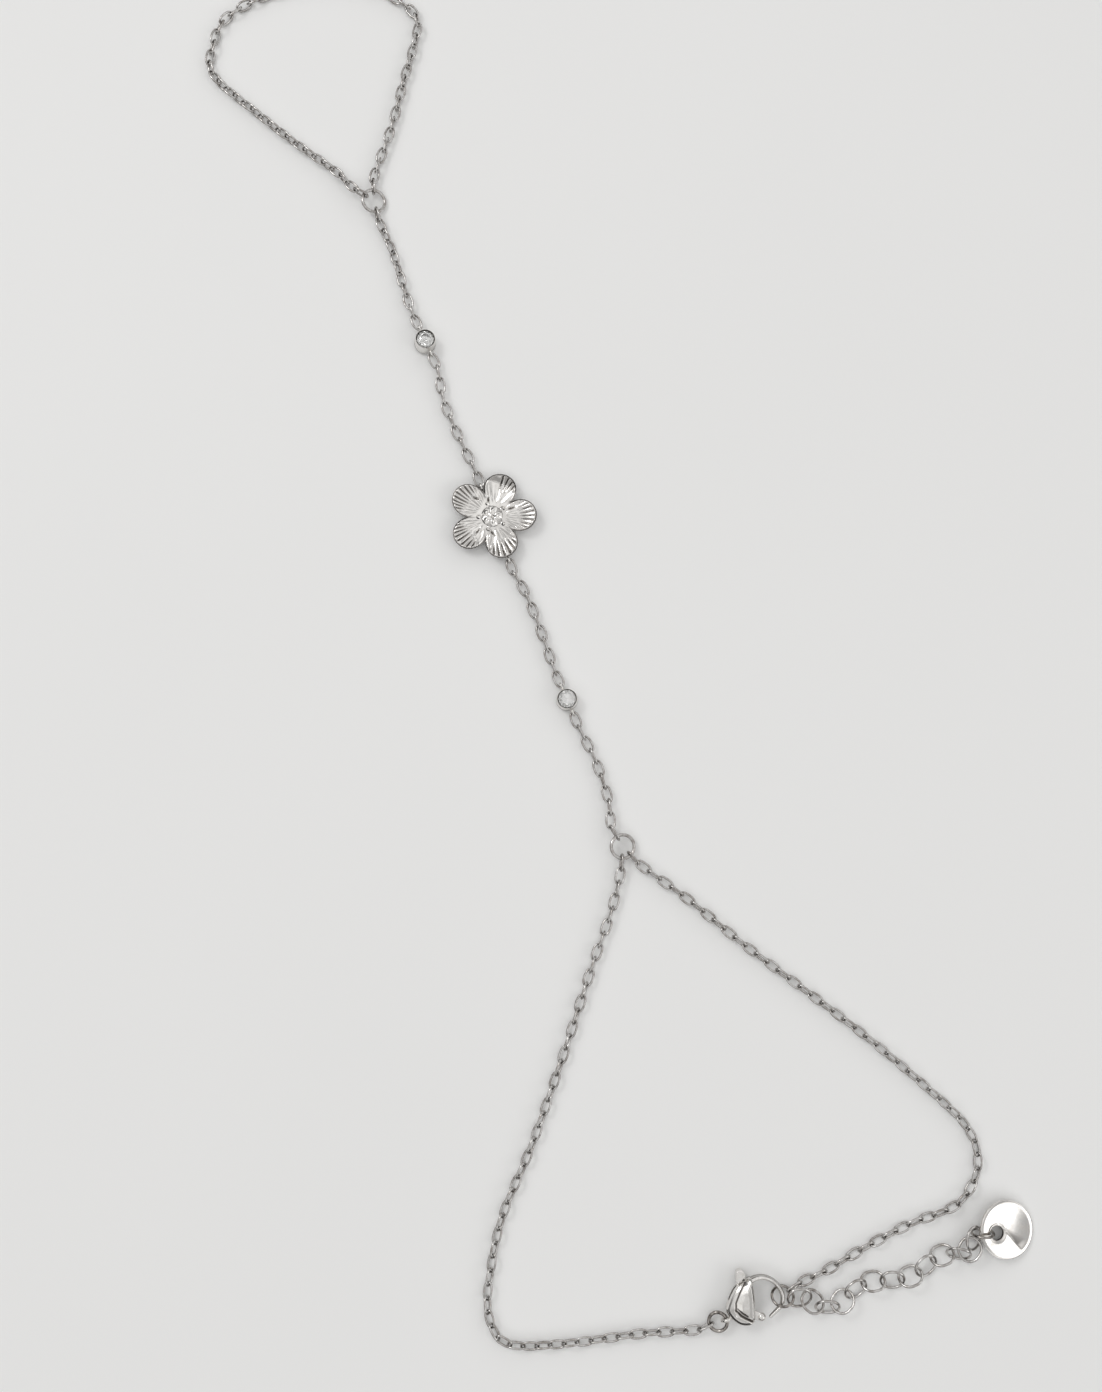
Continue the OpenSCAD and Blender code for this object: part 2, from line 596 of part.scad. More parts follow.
// Tapering wire of the hook, swept through its stations
hook_sides = 16;
module clasp_hook_wire() {
    path = smooth_curve(clasp_hook, 3);
    last = len(path) - 1;
    rings = [for (i = [0:last]) let (
        step = clasp_xy(path[min(i + 1, last)]) - clasp_xy(path[max(i - 1, 0)]),
        side = [step.y, -step.x] / norm(step),
        c = clasp_xy(path[i]))
        [for (k = [0:hook_sides - 1]) let (
            a = 360 * k / hook_sides,
            across = side * (hook_wire * path[i][2] / 2 * cos(a)))
            [c.x + across.x, c.y + across.y, clasp_thick * path[i][3] / 2 * sin(a)]]];
    first_c = clasp_xy(path[0]);
    last_c = clasp_xy(path[last]);
    tip = clasp_xy(path[last]) - clasp_xy(path[last - 1]);
    tip_at = last_c + tip / norm(tip) * hook_wire / 6;
    skin([first_c.x, first_c.y, 0], rings, [tip_at.x, tip_at.y, 0]);
}

// Slot that the lever swings in, open toward the mouth and along the spine
slot_clear = 0.07;
module lever_slot() {
    left = 0.4;
    right = 2.98;
    root = 2.25;
    beyond = 5;
    linear_extrude(height = lever_thick + 2 * slot_clear, center = true)
        scale_xy([[left, -beyond], [beyond, -beyond], [beyond, root], [right, root],
                  [right, beyond], [left, beyond]]);
}
module scale_xy(points) {
    polygon([for (p = points) clasp_xy(p)]);
}

module clasp_body() {
    pin_len = clasp_thick * 0.9;
    pivot = clasp_xy(clasp_pivot);
    eye = clasp_xy(clasp_eye_at);
    color(steel)
        in_clasp() {
            difference() {
                clasp_shell();
                lever_slot();
            }
            clasp_hook_wire();
            translate([pivot.x, pivot.y, -pin_len / 2])
                cylinder(h = pin_len, d = pin_d, $fn = wire_fn);
            translate([eye.x, eye.y, 0])
                rotate([90, 0, 0])
                    rotate_extrude($fn = arc_fn)
                        translate([(clasp_eye_hole + clasp_eye_wire) / 2, 0])
                            circle(d = clasp_eye_wire, $fn = wire_fn);
        }
}

// Lever: a flat plate on the pin, with a round knob at the gate's end and a tab outside the spine
gate_arm = [[1.2, -0.55], [3.2, -1.5], [3.55, -0.9], [1.7, 0.8]];
tab_arm = [[0.85, 0.3], [1.95, -0.2], [2.72, 3.3], [2.7, 3.9], [2.15, 3.9], [1.85, 3.2]];
tab_outline = [[1.98, 3.5], [2.06, 4.1], [2.4, 4.66], [2.9, 4.72], [3.24, 4.3], [3.17, 3.85], [2.95, 3.68]];
hub_r = 0.72;
knob_d = 1.06;
tab_thick = 1.3;
module clasp_gate() {
    pivot = clasp_xy(clasp_pivot);
    knob = clasp_xy(clasp_knob);
    color(bright_steel)
        in_clasp() {
            difference() {
                union() {
                    translate([0, 0, -lever_thick / 2])
                        linear_extrude(height = lever_thick) scale_xy(gate_arm);
                    translate([0, 0, -lever_thick / 2])
                        linear_extrude(height = lever_thick) scale_xy(tab_arm);
                    translate([pivot.x, pivot.y, -lever_thick / 2])
                        cylinder(h = lever_thick, r = hub_r, $fn = arc_fn);
                }
                translate([pivot.x, pivot.y, -lever_thick])
                    cylinder(h = 2 * lever_thick, d = pin_d + 2 * pin_clear, $fn = wire_fn);
            }
            translate([knob.x, knob.y, 0])
                sphere(d = knob_d, $fn = wire_fn);
            translate([0, 0, -tab_thick / 2])
                linear_extrude(height = tab_thick) scale_xy(smooth_loop(tab_outline, 3));
        }
}

// Flat round tag with a shallow dish in its face and a plain hole
module tag() {
    edge = 0.1;
    dish_sphere_r = (tag_dish_r * tag_dish_r + tag_dish * tag_dish) / (2 * tag_dish);
    color(bright_steel)
        translate([tag_at.x, tag_at.y, tag_z])
            rotate([0, tag_tilt, 0])
                difference() {
                    rotate_extrude($fn = arc_fn)
                        polygon([[0, 0], [tag_r - edge, 0], [tag_r, edge], [tag_r, tag_thick - edge],
                                 [tag_r - edge, tag_thick], [0, tag_thick]]);
                    translate([0, 0, tag_thick - tag_dish + dish_sphere_r])
                        sphere(r = dish_sphere_r, $fn = dish_fn);
                    translate([tag_hole_x, tag_hole_y, -tag_thick])
                        cylinder(h = 3 * tag_thick, d = tag_hole_d, $fn = wire_fn);
                }
}

flower();
bezel_1();
stone_1();
bezel_2();
stone_2();
finger_ring();
wrist_ring();
finger_chain();
hand_chain_a();
hand_chain_b();
hand_chain_c();
hand_chain_d();
wrist_chain_right();
wrist_chain_left();
clasp_body();
clasp_gate();
clasp_ring();
end_ring();
for (i = [1:extender_count]) {
    extender_ring(i);
}
tag_ring();
tag();
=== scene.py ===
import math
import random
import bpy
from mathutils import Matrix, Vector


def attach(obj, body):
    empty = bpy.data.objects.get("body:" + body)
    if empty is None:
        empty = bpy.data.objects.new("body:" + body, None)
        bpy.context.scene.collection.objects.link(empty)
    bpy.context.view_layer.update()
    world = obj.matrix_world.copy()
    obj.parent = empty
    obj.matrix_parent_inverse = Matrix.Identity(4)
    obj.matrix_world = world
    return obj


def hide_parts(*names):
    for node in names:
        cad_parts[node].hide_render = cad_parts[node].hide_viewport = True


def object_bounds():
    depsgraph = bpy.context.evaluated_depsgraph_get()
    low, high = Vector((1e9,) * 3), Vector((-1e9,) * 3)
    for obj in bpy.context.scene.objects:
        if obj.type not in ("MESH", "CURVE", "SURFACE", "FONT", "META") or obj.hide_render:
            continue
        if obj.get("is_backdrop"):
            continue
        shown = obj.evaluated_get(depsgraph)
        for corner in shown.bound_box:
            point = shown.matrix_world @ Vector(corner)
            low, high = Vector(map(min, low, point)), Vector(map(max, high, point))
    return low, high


bl_info = {
    "name": "Hand Chain Bracelet",
    "version": (1, 0, 0),
    "blender": (4, 5, 0),
    "location": "View3D > Sidebar > Bracelet",
    "description": "Steel, flower, stones, clasp, tag and studio for a hand chain bracelet",
    "category": "Object",
}

import bmesh
import bpy
import numpy
from mathutils import Matrix, Vector

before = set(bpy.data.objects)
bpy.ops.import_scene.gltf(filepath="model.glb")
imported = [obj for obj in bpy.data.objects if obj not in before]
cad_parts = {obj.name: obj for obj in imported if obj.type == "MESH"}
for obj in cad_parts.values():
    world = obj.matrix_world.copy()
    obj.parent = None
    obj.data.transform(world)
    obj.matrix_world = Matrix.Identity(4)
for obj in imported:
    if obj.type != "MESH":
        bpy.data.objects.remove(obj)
cad_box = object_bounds()

MM = 0.001
BODY = "bracelet"
LEVER_BODY = "gate"
CHAIN_NODES = [
    "finger_chain", "hand_chain_a", "hand_chain_b", "hand_chain_c", "hand_chain_d",
    "wrist_chain_right", "wrist_chain_left",
]
RING_NODES = ["finger_ring", "wrist_ring"]
SOLDERED_NODES = ["clasp_ring", "end_ring", "tag_ring"]
# Each setting: number, place of its middle in mm, direction of its chain and lean in degrees
SETTINGS = [("1", (-8.65, 22.5), 114, 8), ("2", (9.3, -22.9), 113, 0)]
SETTING_RADIUS = 1.375
# Soldered eyelets in mm: radius of the wire's middle line, half the wire, height of their middle
EYELET_RADIUS, EYELET_WIRE, EYELET_HEIGHT = 0.43, 0.14, 0.67


class FinishColours(bpy.types.PropertyGroup):
    """Colours and polish of the metals and the stones"""

    steel: bpy.props.StringProperty(
        name="Steel", description="sRGB colour of the wire's steel", default="#D2D0CE")
    plate: bpy.props.StringProperty(
        name="Bright plate", description="sRGB colour of the plated flower and tag",
        default="#E9E7E4")
    stone: bpy.props.StringProperty(
        name="Stone", description="sRGB colour of the clear stones", default="#FCFCFA")
    floor: bpy.props.StringProperty(
        name="Floor", description="sRGB colour of the studio floor", default="#F7F7F6")
    steel_polish: bpy.props.FloatProperty(
        name="Steel roughness", description="Roughness of the drawn wire",
        default=0.16, min=0.02, max=0.6, subtype="FACTOR")
    plate_polish: bpy.props.FloatProperty(
        name="Plate roughness", description="Roughness of the plated pieces",
        default=0.17, min=0.02, max=0.6, subtype="FACTOR")


class LinkSizes(bpy.types.PropertyGroup):
    """Sizes of a small chain link"""

    length: bpy.props.FloatProperty(
        name="Length", description="Outside length of a link", default=2.35 * MM, unit="LENGTH")
    width: bpy.props.FloatProperty(
        name="Width", description="Outside width of a link", default=1.34 * MM, unit="LENGTH")
    wire: bpy.props.FloatProperty(
        name="Wire", description="Diameter of the wire", default=0.28 * MM, unit="LENGTH")
    roundness: bpy.props.FloatProperty(
        name="Roundness", description="2 for an ellipse, more for straighter sides",
        default=2.35, min=2.0, max=4.0)


class FlowerSizes(bpy.types.PropertyGroup):
    """Sizes of the flower"""

    reach: bpy.props.FloatProperty(
        name="Petal reach", description="From the flower's centre to the middle of a petal",
        default=3.55 * MM, unit="LENGTH")
    radius: bpy.props.FloatProperty(
        name="Petal radius", description="Radius of a petal's round outline",
        default=2.02 * MM, unit="LENGTH")
    rim: bpy.props.FloatProperty(
        name="Rim height", description="Height of the petal's tip over the surface",
        default=1.6 * MM, unit="LENGTH")
    flute: bpy.props.FloatProperty(
        name="Flute depth", description="Depth of the flutes in a petal",
        default=0.2 * MM, unit="LENGTH")
    turn: bpy.props.FloatProperty(
        name="Turn", description="Direction of the first petal",
        default=math.radians(74), subtype="ANGLE")


class StoneSizes(bpy.types.PropertyGroup):
    """Sizes of the cut stones"""

    diameter: bpy.props.FloatProperty(
        name="Girdle", description="Diameter of a stone at its girdle",
        default=2.15 * MM, unit="LENGTH")
    girdle_top: bpy.props.FloatProperty(
        name="Girdle height",
        description="Height of the girdle's top edge over the setting's underside",
        default=1.44 * MM, unit="LENGTH")


class TagSizes(bpy.types.PropertyGroup):
    """Sizes of the round tag"""

    diameter: bpy.props.FloatProperty(
        name="Diameter", description="Diameter of the tag", default=6.8 * MM, unit="LENGTH")
    thickness: bpy.props.FloatProperty(
        name="Thickness", description="Thickness at the rim", default=0.4 * MM, unit="LENGTH")
    dish: bpy.props.FloatProperty(
        name="Dish", description="Depth of the dish in its face", default=0.15 * MM, unit="LENGTH")
    hole: bpy.props.FloatProperty(
        name="Hole", description="Diameter of the hole", default=1.7 * MM, unit="LENGTH")
    tilt: bpy.props.FloatProperty(
        name="Tilt", description="How far the tag's left side is raised",
        default=math.radians(14), subtype="ANGLE")


class StudioSettings(bpy.types.PropertyGroup):
    """Camera and lights"""

    lens: bpy.props.FloatProperty(
        name="Lens", description="Focal length in millimetres on a 36 mm sensor", default=38.79)
    eye: bpy.props.FloatVectorProperty(
        name="Camera", description="Place of the camera",
        default=(7.333 * MM, -42.984 * MM, 184.036 * MM), subtype="XYZ", unit="LENGTH")
    aim: bpy.props.FloatVectorProperty(
        name="Aim", description="Point that the camera looks at",
        default=(7.333 * MM, -22.39 * MM, 0.0), subtype="XYZ", unit="LENGTH")
    overhead: bpy.props.FloatProperty(
        name="Overhead light", description="Power of the soft light overhead", default=0.15)
    key: bpy.props.FloatProperty(
        name="Key light", description="Power of the light from the upper left", default=0.65)
    side: bpy.props.FloatProperty(
        name="Side light", description="Power of the light from the right", default=0.3)
    room: bpy.props.FloatProperty(
        name="Room", description="Brightness of the pale room round the table", default=1.29)


def linear(hex_colour):
    """An sRGB hex colour as linear red, green, blue and alpha"""
    channels = [int(hex_colour[i:i + 2], 16) / 255 for i in (1, 3, 5)]
    return [c / 12.92 if c <= 0.04045 else ((c + 0.055) / 1.055) ** 2.4 for c in channels] + [1.0]


def add_node(tree, kind, inputs=None, **settings):
    """Adds a node with its settings; inputs are values or (node, output name) pairs"""
    node = tree.nodes.new(kind)
    for key, value in settings.items():
        setattr(node, key, value)
    for socket, value in (inputs or {}).items():
        if isinstance(value, tuple) and isinstance(value[0], bpy.types.Node):
            tree.links.new(value[0].outputs[value[1]], node.inputs[socket])
        else:
            node.inputs[socket].default_value = value
    return node


def new_material(name):
    """An empty node material with Object coordinates ready to use"""
    material = bpy.data.materials.new(name)
    material.use_nodes = True
    tree = material.node_tree
    tree.nodes.clear()
    return material, tree, add_node(tree, "ShaderNodeTexCoord")


def polished_metal(name, colour, shade, recess, polish, wave_mm, wave_height_mm):
    """Polished metal that varies a little in tone and polish, and is darkened by painted shade
    where a piece asks for it
    """
    material, tree, place = new_material(name)
    patches = add_node(tree, "ShaderNodeTexNoise", {
        "Vector": (place, "Object"), "Scale": 1 / (0.7 * MM), "Detail": 3.0, "Roughness": 0.6})
    tone = add_node(tree, "ShaderNodeValToRGB", {"Fac": (patches, "Fac")})
    tone.color_ramp.elements[0].position = 0.3
    tone.color_ramp.elements[0].color = linear(shade)
    tone.color_ramp.elements[1].position = 0.62
    tone.color_ramp.elements[1].color = linear(colour)
    # Painted shade: an attribute stored on each piece, from 0 to 1, mixes the colour toward a dark
    # colour
    depth = add_node(tree, "ShaderNodeAttribute", attribute_name="recess")
    metal = add_node(tree, "ShaderNodeMix", {
        0: (depth, "Fac"), 6: (tone, "Color"), 7: linear(recess)}, data_type="RGBA")
    rubbed = add_node(tree, "ShaderNodeMapRange", {
        "Value": (patches, "Fac"), "From Min": 0.3, "From Max": 0.7,
        "To Min": polish * 1.3, "To Max": polish * 0.8})
    ripple = add_node(tree, "ShaderNodeTexNoise", {
        "Vector": (place, "Object"), "Scale": 1 / (wave_mm * MM), "Detail": 2.0})
    relief = add_node(tree, "ShaderNodeBump", {
        "Height": (ripple, "Fac"), "Strength": 1.0, "Distance": wave_height_mm * MM})
    shader = add_node(tree, "ShaderNodeBsdfPrincipled", {
        "Base Color": (metal, 2), "Metallic": 1.0, "Roughness": (rubbed, "Result"),
        "Normal": (relief, "Normal")})
    add_node(tree, "ShaderNodeOutputMaterial", {"Surface": (shader, "BSDF")})
    return material


def drawn_steel_wire(look):
    """Stainless steel wire, drawn and barrel polished: bright on top, dark toward its sides"""
    # The dark colour is painted shade on the inside of the links' ends
    return polished_metal(
        "drawn_steel_wire", colour=look.steel, shade="#A09A95", recess="#4A4440",
        polish=look.steel_polish, wave_mm=0.5, wave_height_mm=0.004)


def painted_shade_ring(look):
    """Soldered jump ring in a darker copy of the steel as painted shade, with random dark patches
    between bright wire
    """
    return polished_metal(
        "painted_shade_ring", colour="#BDB8B3", shade="#3C3430", recess="#3C3430",
        polish=look.steel_polish, wave_mm=0.5, wave_height_mm=0.004)


def bright_silver_plate(look):
    """Cast metal with a bright silvery plate: a soft mirror with slight waves from the casting"""
    # The dark colour is painted shade in the flower's flutes, creases, rims and rosette and along
    # the clasp's folds and hook sides
    return polished_metal(
        "bright_silver_plate", colour=look.plate, shade="#DEDBD7", recess="#4E4844",
        polish=look.plate_polish, wave_mm=0.9, wave_height_mm=0.005)


def painted_shade_seat(look):
    """Inside of a stone's cup, dull, and dark from painted shade between the rim and the stone"""
    return polished_metal(
        "painted_shade_seat", colour="#7C7873", shade="#4E4A46", recess="#4E4A46",
        polish=0.4, wave_mm=0.5, wave_height_mm=0.004)


def hand_polished_disc(look):
    """Stamped and hand polished disc: a clear mirror that bends the room a little"""
    # The dark colour is painted shade in the tag's hole and on its fold
    return polished_metal(
        "hand_polished_disc", colour=look.plate, shade="#DEDAD5", recess="#4E4844",
        polish=look.plate_polish * 0.85, wave_mm=1.8, wave_height_mm=0.006)


def clear_cubic_zirconia(look):
    """Clear cut cubic zirconia: bright table and grey flashes from its facets"""
    material, tree, place = new_material("clear_cubic_zirconia")
    haze = add_node(tree, "ShaderNodeTexNoise", {
        "Vector": (place, "Object"), "Scale": 1 / (0.8 * MM), "Detail": 2.0})
    tint = add_node(tree, "ShaderNodeValToRGB", {"Fac": (haze, "Fac")})
    tint.color_ramp.elements[0].color = linear("#EFEFED")
    tint.color_ramp.elements[1].color = linear(look.stone)
    shader = add_node(tree, "ShaderNodeBsdfPrincipled", {
        "Base Color": (tint, "Color"), "Metallic": 0.0, "Roughness": 0.03,
        "IOR": 2.15, "Transmission Weight": 0.9})
    add_node(tree, "ShaderNodeOutputMaterial", {"Surface": (shader, "BSDF")})
    return material


def pale_floor(look):
    """Plain pale matt card under the bracelet"""
    material, tree, place = new_material("pale_matt_card")
    mottle = add_node(tree, "ShaderNodeTexNoise", {
        "Vector": (place, "Object"), "Scale": 1 / (60 * MM), "Detail": 2.0})
    tone = add_node(tree, "ShaderNodeValToRGB", {"Fac": (mottle, "Fac")})
    tone.color_ramp.elements[0].color = linear("#F4F4F3")
    tone.color_ramp.elements[1].color = linear(look.floor)
    shader = add_node(tree, "ShaderNodeBsdfPrincipled", {
        "Base Color": (tone, "Color"), "Roughness": 0.85, "Specular IOR Level": 0.2})
    add_node(tree, "ShaderNodeOutputMaterial", {"Surface": (shader, "BSDF")})
    return material


def shared(maker, look):
    """The material that a maker gives, made only once"""
    made = bpy.data.materials.get(maker.__name__)
    return made or maker(look)


def give_material(obj, material):
    """Makes one material the whole finish of a piece"""
    obj.data.materials.clear()
    obj.data.materials.append(material)


def deselect_all():
    """Leaves nothing selected and nothing in edit mode"""
    if bpy.context.object and bpy.context.object.mode != "OBJECT":
        bpy.ops.object.mode_set(mode="OBJECT")
    for obj in bpy.context.selected_objects:
        obj.select_set(False)


def only(obj):
    """Selects one piece and makes it the active one"""
    deselect_all()
    obj.select_set(True)
    bpy.context.view_layer.objects.active = obj
    return obj


def apply_modifier(obj, kind, **settings):
    """Adds a modifier with its settings and applies it"""
    only(obj)
    modifier = obj.modifiers.new(kind.title(), kind)
    for key, value in settings.items():
        setattr(modifier, key, value)
    bpy.ops.object.modifier_apply(modifier=modifier.name)


def smooth_by(obj, degrees):
    """Smooth shading that keeps edges over some angle sharp"""
    only(obj)
    bpy.ops.object.shade_smooth_by_angle(angle=math.radians(degrees))


def mark_recesses(obj, painted_shade_amounts):
    """Stores how much painted shade darkens each corner of a piece, from 0 to 1, for its material
    """
    layer = obj.data.attributes.new("recess", "FLOAT", "POINT")
    layer.data.foreach_set("value", painted_shade_amounts)


def outward(obj):
    """Merges doubles and turns every face outward"""
    only(obj)
    bpy.ops.object.mode_set(mode="EDIT")
    bpy.ops.mesh.select_all(action="SELECT")
    bpy.ops.mesh.remove_doubles(threshold=1e-7)
    bpy.ops.mesh.normals_make_consistent(inside=False)
    bpy.ops.object.mode_set(mode="OBJECT")


def join(pieces, name):
    """Joins pieces into one object"""
    deselect_all()
    for piece in pieces:
        piece.select_set(True)
    bpy.context.view_layer.objects.active = pieces[0]
    bpy.ops.object.join()
    joined = bpy.context.object
    joined.name = name
    joined.data.name = name
    return joined


def settle(obj):
    """Puts the place of a piece into its mesh"""
    only(obj)
    bpy.ops.object.transform_apply(location=True, rotation=True, scale=True)


def hand_over(obj, body, slot, *nodes):
    """The piece rides on a body and stands for CAD nodes, which it hides; its slot is not used"""
    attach(obj, body)
    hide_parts(*nodes)


def turned(profile, sides):
    """A turned piece: a ring that is drawn out and widened along its profile of (radius, height)"""
    deselect_all()
    radius, height = profile[0]
    bpy.ops.mesh.primitive_circle_add(
        vertices=sides, radius=radius, fill_type="NGON", location=(0, 0, height))
    obj = bpy.context.object
    settle(obj)
    bpy.ops.object.mode_set(mode="EDIT")
    bpy.ops.mesh.select_all(action="SELECT")
    for next_radius, next_height in profile[1:]:
        bpy.ops.mesh.extrude_region_move(
            TRANSFORM_OT_translate={"value": (0, 0, next_height - height)})
        share = next_radius / radius
        bpy.ops.transform.resize(value=(share, share, 1), center_override=(0, 0, next_height))
        radius, height = next_radius, next_height
    bpy.ops.object.mode_set(mode="OBJECT")
    return obj


def ease(value, low, high):
    """0 below low, 1 above high and a smooth step between them"""
    t = min(1.0, max(0.0, (value - low) / (high - low)))
    return t * t * (3 - 2 * t)


def bell(value, centre, width):
    """A smooth bump of height 1"""
    return math.exp(-((value - centre) / width) ** 2)


def disc_of_grid(cells, radius):
    """A round sheet of even squares, made from a square grid"""
    deselect_all()
    bpy.ops.mesh.primitive_grid_add(x_subdivisions=cells, y_subdivisions=cells, size=2)
    obj = bpy.context.object
    for vertex in obj.data.vertices:
        a, b = vertex.co.x, vertex.co.y
        vertex.co.x = radius * a * math.sqrt(1 - b * b / 2)
        vertex.co.y = radius * b * math.sqrt(1 - a * a / 2)
    return obj


def setting_place(at, turn, lean):
    """Place of a setting: its chain runs along X and its axis is Z"""
    turn, lean = math.radians(turn), math.radians(lean)
    along = Vector((math.cos(turn), math.sin(turn), 0))
    side = Vector((along.y, -along.x, 0))
    axis = math.cos(lean) * Vector((0, 0, 1)) + math.sin(lean) * side
    stand = Matrix((along, axis.cross(along), axis)).transposed().to_4x4()
    lift = SETTING_RADIUS * math.sin(lean)
    return Matrix.Translation(Vector((at[0], at[1], lift)) * MM) @ stand


def wire_eyelet(place, direction, around, across):
    """An upright ring of wire at a place in mm, with so many sides around it and across its wire"""
    deselect_all()
    bpy.ops.mesh.primitive_torus_add(
        major_segments=around, minor_segments=across,
        major_radius=EYELET_RADIUS * MM, minor_radius=EYELET_WIRE * MM)
    ring = bpy.context.object
    upright = Matrix.Rotation(direction, 4, "Z") @ Matrix.Rotation(math.pi / 2, 4, "X")
    ring.data.transform(Matrix.Translation(Vector(place) * MM) @ upright)
    return ring


class BRACELET_OT_links(bpy.types.Operator):
    """Bends oval wire links and lays them where the links of every chain lie"""

    bl_idname = "bracelet.links"
    bl_label = "Chain links"

    def oval_link(self, sizes):
        """One link: a ring of wire that is drawn out to an oval along X"""
        wire = sizes.wire / 2
        ring_radius = 1 * MM
        deselect_all()
        bpy.ops.mesh.primitive_torus_add(
            major_segments=16, minor_segments=6, major_radius=ring_radius, minor_radius=wire)
        link = bpy.context.object
        half = Vector(((sizes.length - sizes.wire) / 2, (sizes.width - sizes.wire) / 2))
        power = 2 / sizes.roundness
        painted_shade_amounts = []
        for vertex in link.data.vertices:
            turn = math.atan2(vertex.co.y, vertex.co.x)
            out = math.hypot(vertex.co.x, vertex.co.y) - ring_radius
            c, s = math.cos(turn), math.sin(turn)
            middle = Vector((math.copysign(abs(c) ** power * half.x, c),
                             math.copysign(abs(s) ** power * half.y, s), 0))
            normal = Vector((middle.x / half.x ** 2, middle.y / half.y ** 2, 0)).normalized()
            vertex.co = middle + normal * out + Vector((0, 0, vertex.co.z))
            # Painted shade on the inside of both ends of a link, where the next links pass through
            painted_shade_amounts.append(ease(abs(middle.x) / half.x, 0.7, 0.95) * ease(-out / wire, -0.3, 0.6))
        mark_recesses(link, painted_shade_amounts)
        return link

    def places(self, node):
        """Where each link lies: the middle and the main directions of every loose part"""
        mesh = bmesh.new()
        mesh.from_mesh(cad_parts[node].data)
        bmesh.ops.remove_doubles(mesh, verts=mesh.verts, dist=1e-7)
        seen = set()
        for first in mesh.verts:
            if first in seen:
                continue
            seen.add(first)
            island = [first]
            for vertex in island:
                for edge in vertex.link_edges:
                    other = edge.other_vert(vertex)
                    if other not in seen:
                        seen.add(other)
                        island.append(other)
            points = numpy.array([vertex.co for vertex in island])
            middle = (points.min(0) + points.max(0)) / 2
            _, ways = numpy.linalg.eigh(numpy.cov((points - middle).T))
            along, up = Vector(ways[:, 2]), Vector(ways[:, 0])
            turn = Matrix((along, up.cross(along), up)).transposed().to_4x4()
            yield Matrix.Translation(Vector(middle)) @ turn
        mesh.free()

    def execute(self, context):
        link = self.oval_link(context.scene.bracelet_links)
        steel = shared(drawn_steel_wire, context.scene.bracelet_finish)
        for node in CHAIN_NODES:
            copies = []
            for place in self.places(node):
                copy = bpy.data.objects.new("link", link.data.copy())
                copy.data.transform(place)
                context.scene.collection.objects.link(copy)
                copies.append(copy)
            chain = join(copies, node + "_links")
            only(chain)
            bpy.ops.object.shade_smooth()
            give_material(chain, steel)
            hand_over(chain, BODY, "polished_steel", node)
        bpy.data.objects.remove(link)
        return {"FINISHED"}


class BRACELET_OT_rings(bpy.types.Operator):
    """Gives the rings and the extender their polished steel, and the soldered rings a darker copy
    as painted shade
    """

    bl_idname = "bracelet.rings"
    bl_label = "Rings"

    def execute(self, context):
        look = context.scene.bracelet_finish
        steel = shared(drawn_steel_wire, look)
        extender = [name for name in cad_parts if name.startswith("extender_ring_")]
        for name in RING_NODES + extender:
            give_material(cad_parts[name], steel)
        # Painted shade: the rings at the clasp's eyelet, in the hook and through the tag take a
        # darker copy of the steel
        for name in SOLDERED_NODES:
            give_material(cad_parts[name], shared(painted_shade_ring, look))
        return {"FINISHED"}


class BRACELET_OT_settings(bpy.types.Operator):
    """Turns the two round settings with their seats darkened by painted shade, and soldered eyelets
    """

    bl_idname = "bracelet.settings"
    bl_label = "Stone settings"
    # Profiles in mm, (radius, height): up the outside to the lip, then down the inside
    outside = [(1.295, 0.0), (1.355, 0.025), (SETTING_RADIUS, 0.08), (1.27, 1.5), (1.255, 1.56),
               (1.225, 1.6), (1.195, 1.6)]
    inside = [(1.15, 1.55), (1.105, 1.45), (1.115, 1.28), (0.93, 1.06), (0.2, 0.2)]
    seat_radius, seat_low = 1.18, 1.1
    eyelet_reach = 1.735

    def execute(self, context):
        look = context.scene.bracelet_finish
        for number, at, turn, lean in SETTINGS:
            cup = turned([(r * MM, z * MM) for r, z in self.outside + self.inside], 64)
            give_material(cup, shared(bright_silver_plate, look))
            cup.data.materials.append(shared(painted_shade_seat, look))
            # Painted shade: faces low inside the cup take the dark seat material
            for face in cup.data.polygons:
                middle = face.center / MM
                if middle.z > self.seat_low and math.hypot(middle.x, middle.y) < self.seat_radius:
                    face.material_index = 1
            pieces = [cup]
            for side in (1, -1):
                eyelet = wire_eyelet((self.eyelet_reach * side, 0, EYELET_HEIGHT), 0, 40, 14)
                give_material(eyelet, shared(bright_silver_plate, look))
                pieces.append(eyelet)
            setting = join(pieces, "setting_" + number)
            setting.data.transform(setting_place(at, turn, lean))
            outward(setting)
            smooth_by(setting, 35)
            hand_over(setting, BODY, "bright_steel", "bezel_" + number)
        return {"FINISHED"}


